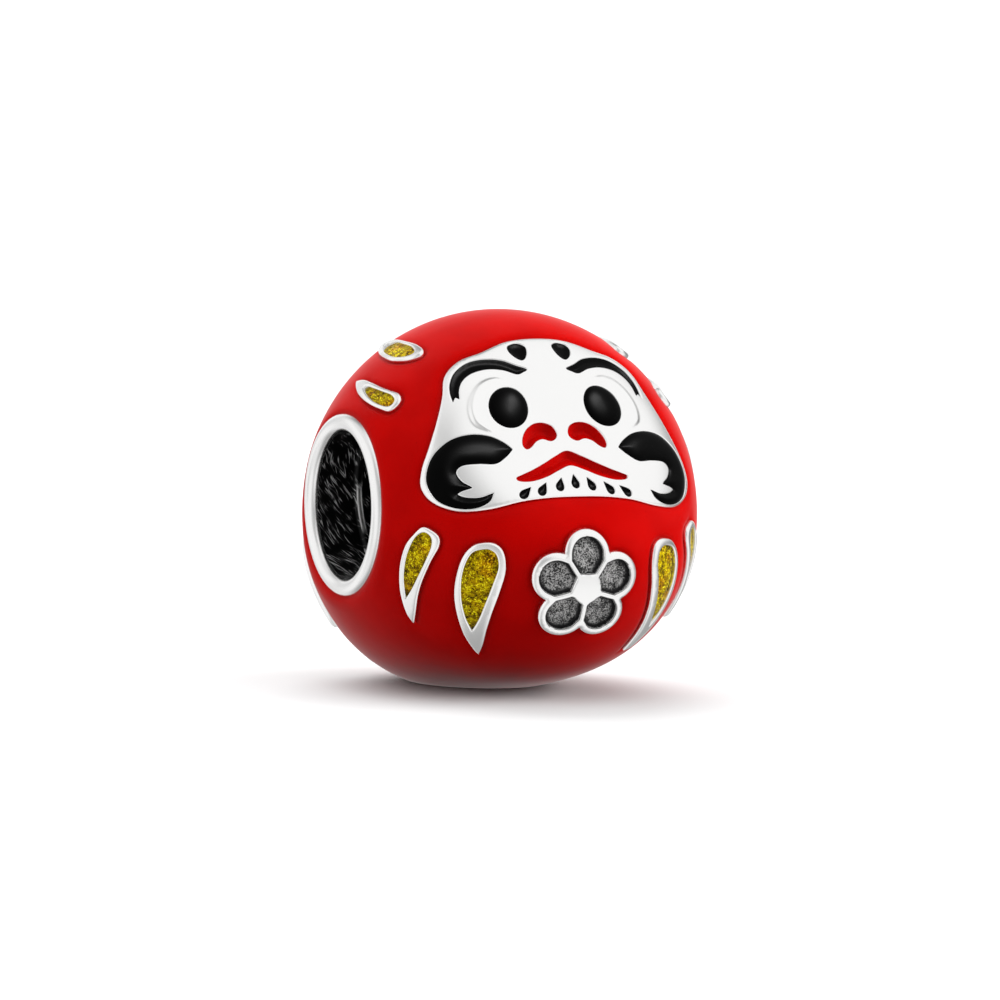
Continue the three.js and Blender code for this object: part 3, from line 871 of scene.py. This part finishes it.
def band_ids(ids):
    """The numbers of the two mouth rings in a band's outer loop, both running the way around grows."""
    first = 1 + SEAM_STEPS
    last = first + RING_STEPS + 1
    return np.append(ids[:1], ids[last + SEAM_STEPS:][::-1]), ids[first:last]


def join_mouths(pile, high, low):
    """Walls between the mouth rings of an upper and a lower band."""
    for upper, lower, facing_out in zip(band_ids(high), band_ids(low), (False, True)):
        pile.wall(upper, lower, facing_out, closed=False)


# %% [markdown]
# The casting's tops have rounded edges, because polishing takes every sharp edge off silver. The lid
# round each eye is a soft ridge, raised in the plate itself.

# %% Cast body
def lid_height(points, rise=0.075, width=0.1):
    """Height of the eyelid ridges in millimetres."""
    total = np.zeros(len(points))
    for lid in lids.values():
        within = inside(unfold(points), [unfold(lid)])
        depth = distance_to(lid)(points)
        total += within * rise * (1 - np.exp(-((depth / width) ** 2)))
    return total


def rounded_top(patch, height, **edges):
    """The patch's top, with its edges rounded at each named group of loops."""
    top = height
    for name, loops in edges.items():
        top = top - rounded(distance_to(np.vstack(loops))(patch.points), ROUNDING[name])
    return top


def pocket(pile, loop, high_ids):
    """A flat floor with a wall up to the top that surrounds it."""
    floor_ids = pile.add(Patch(loop, spacing=0.3), POCKET_FLOOR)
    pile.wall(high_ids, floor_ids[0], facing_out=False)


def cast_body():
    pile = Pile()
    ground_loop, ground_band = band_loops(GROUND, COLLAR_RADIUS + SOLDER_GAP)
    raised = [face_loop, *rims.values()]
    ground_ids = pile.add(Patch(ground_loop, raised, spacing=0.45, band=ground_band), GROUND)

    plate = Patch(face_loop, list(fields.values()), spacing=0.06, rings=ring_steps(0.05))
    top = rounded_top(plate, PLATE_TOP, plate=[face_loop], pocket=list(fields.values()))
    plate_ids = pile.add(plate, top + lid_height(plate.points))
    pile.wall(plate_ids[0], ground_ids[1])
    for loop, ids in zip(fields.values(), plate_ids[1:]):
        pocket(pile, loop, ids)

    for number, (name, rim_loop) in enumerate(rims.items(), 2):
        rim = Patch(rim_loop, [golds[name]], spacing=0.08, rings=ring_steps(0.045))
        rim_ids = pile.add(rim, rounded_top(rim, BEZEL_TOP, rim=[rim_loop], gold=[golds[name]]))
        pile.wall(rim_ids[0], ground_ids[number])
        pocket(pile, golds[name], rim_ids[1])

    hollow_loop, hollow_band = band_loops(-CASTING_DEPTH, SLEEVE_RADIUS + SOLDER_GAP)
    hollow = Patch(hollow_loop, spacing=0.5, band=hollow_band)
    hollow_ids = pile.add(hollow, -CASTING_DEPTH, facing_out=False)
    join_mouths(pile, ground_ids[0], hollow_ids[0])
    return finished("cast_body", pile.mesh("cast_body"), SILVER)


cast = cast_body()

# %% [markdown]
# ## The red coat
# The coat is fired in several thin layers and ground flush, and the melt draws down a little where it
# meets the silver. So its top dips near each outline.

# %% Red coat
COAT_DIP = 0.07
COAT_RINGS = (0.02, 0.05, 0.1, 0.18)


def red_coat():
    pile = Pile()
    openings = [face_loop, crest_loop, *rims.values()]
    top_loop, top_band = band_loops(-COAT_DIP, COLLAR_RADIUS - COAT_OVERLAP)
    top = Patch(top_loop, openings, spacing=0.17, rings=COAT_RINGS, band=top_band)
    top_ids = pile.add(top, -COAT_DIP * np.exp(-((top.depth / 0.09) ** 1.3)))
    under_loop, under_band = band_loops(-COAT_THICKNESS, COLLAR_RADIUS - COAT_OVERLAP)
    under = Patch(under_loop, openings, spacing=0.6, band=under_band)
    under_ids = pile.add(under, -COAT_THICKNESS, facing_out=False)
    for high, low in zip(top_ids[1:], under_ids[1:]):
        pile.wall(high, low, facing_out=False)
    join_mouths(pile, top_ids[0], under_ids[0])
    return finished("fired_red_coat", pile.mesh("fired_red_coat"), RED)


coat = red_coat()

# %% [markdown]
# ## Enamel fields
# Each field is a shell in its own pocket. Eyes and cheeks swell into domes, brows and spots sink a
# little, and the nostrils and the mouth are grooves, deepest along their middle line.

# %% Profiles across a field
def dome(rise, width):
    return lambda depth: -0.02 + rise * np.sqrt(1 - np.clip(1 - depth / width, 0, 1) ** 2)


def dish(sink, width):
    return lambda depth: -0.01 - sink * (1 - np.exp(-((depth / width) ** 2)))


def groove(sink, width):
    return lambda depth: -0.04 - sink * np.clip(depth / width, 0, 1)


PROFILES = {
    "eye": (dome(0.15, 0.62), BLACK),
    "brow": (dish(0.07, 0.1), BLACK),
    "forehead_spot": (dish(0.06, 0.12), BLACK),
    "cheek_beard": (dome(0.13, 0.42), BLACK),
    "chin_whisker": (dish(0.06, 0.05), BLACK),
    "nostril": (groove(0.15, 0.2), RED),
    "mouth_enamel": (groove(0.15, 0.2), RED),
}


FIELD_RINGS = (0.012, 0.03, 0.055)


def field_piece(node, loop, profile, material, spacing=0.05):
    """One shell of enamel. It overlaps the pocket's wall by a hair, so that no light gets between."""
    pile = Pile()
    grown = inset(loop, -FIELD_OVERLAP)
    top = Patch(grown, spacing=spacing, rings=FIELD_RINGS)
    top_ids = pile.add(top, profile(top.depth), zone=1.0)
    low_ids = pile.add(Patch(grown, spacing=0.4), POCKET_FLOOR + FLOOR_GAP, facing_out=False)
    pile.wall(top_ids[0], low_ids[0])
    return finished(f"fired_{node}", pile.mesh(node), material)


# %% [markdown]
# The name of a field says which profile and colour it takes.

# %% Black and red fields
pieces = {"body_casting": cast, "red_enamel_coat": coat}
for node, loop in fields.items():
    kind = next(kind for kind in PROFILES if node.startswith(kind))
    profile, material = PROFILES[kind]
    pieces[node] = field_piece(node, loop, profile, material)

# %% [markdown]
# The gold fields swell a little, and get their flakes once they are bent into place. Each has a seed of
# its own.

# %% Gold fields
swelling = dish(-0.03, 0.12)
for number, (node, loop) in enumerate(golds.items()):
    gold = field_piece(node, loop, swelling, GLITTER_BED, spacing=0.07)
    run_tree(gold, FLAKES, Finish=GLITTER_BED, Flake_finish=GLITTER_FLAKE, Seed=number * 10)
    print(node, "faces with flakes:", len(gold.data.polygons))
    pieces[node] = gold

# %% [markdown]
# ## The crest plaque
# The plaque stands proud of the red. Its petal hollows are blackened and keep the grain of the tool
# that cut them, and the rims between them are polished bright.

# %% Crest plaque
def crest(painted_shade_width=0.11):
    """Floors have zone 1, rising to 2 near their walls as painted shade: full black, with no worn grey."""
    pile = Pile()
    petals = [petal_outline(i) for i in range(CREST["petals"])]
    top = Patch(crest_loop, petals, spacing=0.06, rings=ring_steps(0.045))
    ids = pile.add(top, rounded_top(top, CREST_TOP, crest=[crest_loop], petal=petals))
    for petal, high in zip(petals, ids[1:]):
        floor = Patch(petal, spacing=0.05, rings=(0.03, 0.06))
        # Painted shade: the zone rises towards 2 near the petal walls, so the floor is painted full black
        # there.
        corner = np.exp(-((floor.depth / painted_shade_width) ** 2))
        fillet = 0.03 * np.exp(-floor.depth / 0.04)
        floor_ids = pile.add(floor, CREST_FLOOR + fillet, zone=1 + corner)
        pile.wall(high, floor_ids[0], facing_out=False)
    low_ids = pile.add(Patch(crest_loop, spacing=0.5), -COAT_THICKNESS, facing_out=False)
    pile.wall(ids[0], low_ids[0])
    return finished("struck_crest", pile.mesh("struck_crest"), SILVER)


pieces["crest_plaque"] = crest()

# %% [markdown]
# ## The core sleeve
# The sleeve is a turned tube, soldered through the casting. Its ends are rolled over into round
# collars, and a screw thread runs inside it, which grips the thread of the bracelet. The tube is one
# profile turned round the bore. The thread follows a helix, so Geometry Nodes sweep it.

# %% Geometry Nodes: thread
def thread_tree():
    inputs = {
        "Finish": None,
        "Thread radius": (BORE_RADIUS + 0.04) * MM,
        "Ridge": 0.16 * MM,
        "Pitch": 1.1 * MM,
        "Turns": 8.25,
        "Bore height": BORE_HEIGHT * MM,
    }
    tree, entry = new_geometry_tree("thread", inputs)
    radius, turns = entry.out("Thread radius"), entry.out("Turns")
    length = entry.out("Pitch") * turns
    helix = entry.node("GeometryNodeCurveSpiral", {
        "Start Radius": radius, "End Radius": radius, "Height": length, "Rotations": turns, "Resolution": 96})
    section = entry.node("GeometryNodeCurvePrimitiveCircle", {"Resolution": 8, "Radius": entry.out("Ridge")})
    ridge = entry.node(
        "GeometryNodeCurveToMesh", {"Curve": helix, "Profile Curve": section, "Fill Caps": True})
    middle = entry.xyz(X=length / -2, Z=entry.out("Bore height"))
    laid_down = entry.node("GeometryNodeTransform", {
        "Geometry": ridge, "Rotation": (0, radians(90), 0), "Translation": middle})
    whole = joined(entry, stored(laid_down, "POINT", "zone", 1.0))
    return close_tree(tree, coloured(whole, entry.out("Finish")))


# %% [markdown]
# The inside of the bore is blackened silver. Strokes of wear show the metal again: they are drawn on
# the unrolled wall, from a noise stretched along each stroke. The thread's crest is left bare silver
# only in a band across the bore's sides: a painted highlight line on top of real rubbing wear.

# %% Bore finish
STRETCH = 0.06


def scratches(start, place, steepness, size, seed):
    """Thin strokes on the wall, laid out on the unrolled tube and bent a little."""
    x, around = place
    lean = radians(steepness)
    sway = (noise(start, 1.1, 1) - 0.5) * (0.5 * MM)
    along = x * cos(lean) - around * sin(lean)
    across = x * sin(lean) + around * cos(lean) + sway
    stretched = start.xyz(X=along * STRETCH, Y=across, Z=seed * MM)
    return noise(start, size, 1, where=stretched).smoothstep(0.59, 0.7)


def bore_silver():
    material, start = new_material("oxidised bore silver")
    zone = kept_value(start, "zone")
    split = start.node("ShaderNodeSeparateXYZ", {0: start.node("ShaderNodeTexCoord", output="Object")})
    x, y, height = split.out("X"), split.out("Y"), split.out("Z") - BORE_HEIGHT * MM
    off_axis = start.math("SQRT", y * y + height * height)
    # Painted highlight: the thread's crest is bare silver only in this band, where it shows a bright line;
    # part of it is rubbing wear.
    wear_and_highlight_band = 1 - start.math("ABSOLUTE", height + 0.3 * MM).smoothstep(0.45 * MM, 0.8 * MM)
    crest_low, crest_high = (BORE_RADIUS - 0.11) * MM, (BORE_RADIUS - 0.075) * MM
    crest = (1 - off_axis.smoothstep(crest_low, crest_high)) * wear_and_highlight_band
    patches = noise(start, 0.5, 2).smoothstep(0.42, 0.6)
    place = (x, start.math("ARCTAN2", height, y) * (BORE_RADIUS * MM))
    steep = scratches(start, place, 64, 0.034, 0) * patches
    flat = scratches(start, place, 50, 0.045, 7) * patches * 0.8
    marks = start.math("MAXIMUM", steep, flat)
    blackened = blend_colours(start, marks, (0.0015, 0.0015, 0.0016, 1), (0.75, 0.75, 0.75, 1))
    black = zone.smoothstep(0.3, 0.7) * (1 - crest * 0.9)
    surface(start, {
        "Base Color": blend_colours(start, black, (0.9, 0.897, 0.89, 1), blackened),
        "Metallic": 1 - black * 0.3,
        "Roughness": 0.22 + black * 0.18 + crest * 0.15,
        "Normal": bumps(start, marks * black, 0.008),
    })
    return material


# %% [markdown]
# The tube is one closed section, turned round the bore. Its zone is 1 where it is blackened.

# %% Turned sleeve
SLEEVE_STEPS = 144


def sleeve_profile():
    """(distance from the middle plane, radius, blackened or not) round the tube's whole section."""
    middle, half_width = (COLLAR_RADIUS + BORE_RADIUS) / 2, (COLLAR_RADIUS - BORE_RADIUS) / 2
    rim = COLLAR_END - half_width
    inner = BORE_RADIUS + 0.03
    points = [(COLLAR_START, SLEEVE_RADIUS, 0), (COLLAR_START, COLLAR_RADIUS, 0)]
    for angle in np.radians(np.linspace(0, 180, 17)):
        x = COLLAR_END - half_width * (1 - sin(angle))
        points.append((x, middle + half_width * cos(angle), 0))
    points += [(rim - 0.04, BORE_RADIUS, 1), (4.7, inner, 1), (4.2, inner, 1)]
    return points + [(-x, radius, zone) for x, radius, zone in points[::-1]]


def turned_sleeve():
    profile = np.array(sleeve_profile())
    count = len(profile)
    angle = np.arange(SLEEVE_STEPS)[:, None] * tau / SLEEVE_STEPS
    x = np.repeat(profile[:, 0][None], SLEEVE_STEPS, 0)
    y = profile[:, 1] * np.cos(angle)
    z = profile[:, 1] * np.sin(angle) + BORE_HEIGHT
    points = np.stack([x, y, z], -1).reshape(-1, 3) * MM
    faces = []
    for i in range(SLEEVE_STEPS):
        for k in range(count):
            a, b = i * count + k, i * count + (k + 1) % count
            faces.append((a, b, (b + count) % len(points), (a + count) % len(points)))
    mesh = zoned_mesh("turned_sleeve", points, faces, np.tile(profile[:, 2], SLEEVE_STEPS))
    return finished("turned_sleeve", mesh, bore_silver(), thread_tree())


pieces["core_sleeve"] = turned_sleeve()

# %% [markdown]
# ## Riding on the frame
# Every piece stands for its CAD node: it hangs from the root body, and the plain node is hidden.

# %% Tie pieces to the CAD nodes
for node, piece in pieces.items():
    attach(piece, "root")
    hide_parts(node)
print("pieces:", len(pieces), "triangles:", sum(
    len(face.vertices) - 2 for piece in pieces.values() for face in piece.data.polygons))

# %% [markdown]
# ## Stage, light and camera
# A pale floor, a white surround and large soft lamps, as for jewellery: the silver has to mirror
# white, with a darker side that shows its form. The floor and the sun lamps are hidden from mirrored
# rays, so that only the cards of the surround show in the metal.

# %% Floor
def floor(half_width=1.2):
    mesh = bpy.data.meshes.new("floor")
    corners = [(x * half_width, y * half_width, 0) for x, y in ((-1, -1), (1, -1), (1, 1), (-1, 1))]
    mesh.from_pydata(corners, [], [(0, 1, 2, 3)])
    plane = new_object("floor", mesh)
    material, start = new_material("pale floor")
    surface(start, {"Base Color": (0.36, 0.36, 0.362, 1), "Roughness": 0.8})
    mesh.materials.append(material)
    plane.visible_glossy = False


floor()

# %% [markdown]
# Five soft suns light the enamel and the floor. The cards of the surround, some of them below the
# horizon in the floor's place, are what the silver mirrors. Two strips of light fall on the black
# pieces only, by light linking: they give the highlights on the eyes and the hair.

# %% Lamps and surround
SUNS = {
    # name: (azimuth, elevation), strength, spread in degrees
    "overhead box": ((-30, 80), 0.8, 90),
    "back box": ((177, 38), 2.05, 60),
    "right box": ((78, 11), 2.8, 50),
    "left box": ((-95, 12), 0.5, 60),
    "front box": ((35, 10), 0.35, 60),
}
CARDS = [
    # (azimuth, elevation), edge, middle, brightness
    ((50, 52), 0.45, 0.85, 0.82),
    ((-60, 10), 0.6, 1.0, 0.4),
    ((152, 12), 0.75, 1.0, 0.8),
    ((-115, 40), 0.64, 0.95, 0.62),
    ((28, -28), 0.35, 0.88, 0.62),
    ((-100, -12), 0.45, 0.85, 0.5),
    ((190, -5), 0.6, 0.95, 0.5),
    ((0, -90), 0.1, 0.6, 0.16),
]
DARK = 0.24
STRIP_DISTANCE = 110


def heading(azimuth, elevation):
    """A direction, with azimuth 0 in front and growing towards +X."""
    a, e = radians(azimuth), radians(elevation)
    return Vector((sin(a) * cos(e), -cos(a) * cos(e), sin(e)))


def new_lamp(name, kind, towards, power):
    data = bpy.data.lights.new(name, kind)
    data.energy = power
    item = new_object(name, data)
    item.rotation_euler = towards.to_track_quat("Z", "Y").to_euler()
    return item


def soft_sun(name, direction, strength, spread):
    """A round soft lamp so far off that it lights the floor evenly."""
    item = new_lamp(name, "SUN", heading(*direction), strength * pi)
    item.data.angle = radians(spread)
    item.visible_glossy = False


def strip_lamp(name, direction, size, power, lit):
    """A narrow strip of light that falls on a few pieces only, so that it leaves the silver even."""
    towards = heading(*direction)
    item = new_lamp(name, "AREA", towards, power)
    item.data.shape = "RECTANGLE"
    item.data.size, item.data.size_y = size[0] * MM, size[1] * MM
    item.location = Vector((0, 0, BORE_HEIGHT * MM)) + towards * STRIP_DISTANCE * MM
    receivers = bpy.data.collections.new(name)
    for piece in lit:
        receivers.objects.link(piece)
    item.light_linking.receiver_collection = receivers


def surround():
    """A tent of white cards with soft edges, and a dim grey between them."""
    world = bpy.data.worlds.new("white tent")
    bpy.context.scene.world = world
    world.use_nodes = True
    world.node_tree.nodes.clear()
    start = Wire(world.node_tree)
    seen = start.node("ShaderNodeTexCoord", output="Generated")
    light = DARK
    for direction, edge, middle, brightness in CARDS:
        facing = start.vector_math("DOT_PRODUCT", {0: seen, 1: heading(*direction)}, output=1)
        light = facing.smoothstep(edge, middle) * brightness + light
    colour = blend_colours(start, light, (0, 0, 0, 1), (1, 1, 1, 1))
    background = start.node("ShaderNodeBackground", {"Color": colour, "Strength": 1.0})
    start.node("ShaderNodeOutputWorld", {"Surface": background})


for name, settings in SUNS.items():
    soft_sun(name, *settings)
eyes = [piece for node, piece in pieces.items() if node.startswith("eye")]
hair = [piece for piece in pieces.values() if BLACK.name in piece.data.materials and piece not in eyes]
print("suns:", len(SUNS), "cards:", len(CARDS), "eyes:", len(eyes), "pieces of painted hair:", len(hair))
strip_lamp("eye lamp", (38, 58), (36, 24), 0.14, eyes)
strip_lamp("hair lamp", (15, 56), (120, 12), 0.32, hair)
surround()
bpy.context.scene.view_settings.view_transform = "Standard"

# %% [markdown]
# A long lens keeps the bead's sides parallel. The camera stands a little above the bore and to the
# left of the face, and leans by one degree.

# %% Camera
SENSOR = 36


def camera(azimuth=24.5, elevation=5.0, roll=1.0, frame_width=30.3, distance=400):
    back = heading(-azimuth, elevation)
    level = Vector((cos(radians(azimuth)), -sin(radians(azimuth)), 0))
    upright = back.cross(level)
    lean = radians(roll)
    right = level * cos(lean) + upright * sin(lean)
    up = upright * cos(lean) - level * sin(lean)
    data = bpy.data.cameras.new("camera")
    data.sensor_width = SENSOR
    data.lens = SENSOR * distance / frame_width
    data.clip_start, data.clip_end = 0.01, 5
    item = new_object("camera", data)
    target = Vector((0, 0, (BORE_HEIGHT + 0.05) * MM))
    turn = Matrix((right, up, back)).transposed()
    item.matrix_world = Matrix.Translation(target + back * distance * MM) @ turn.to_4x4()
    bpy.context.scene.camera = item


camera()
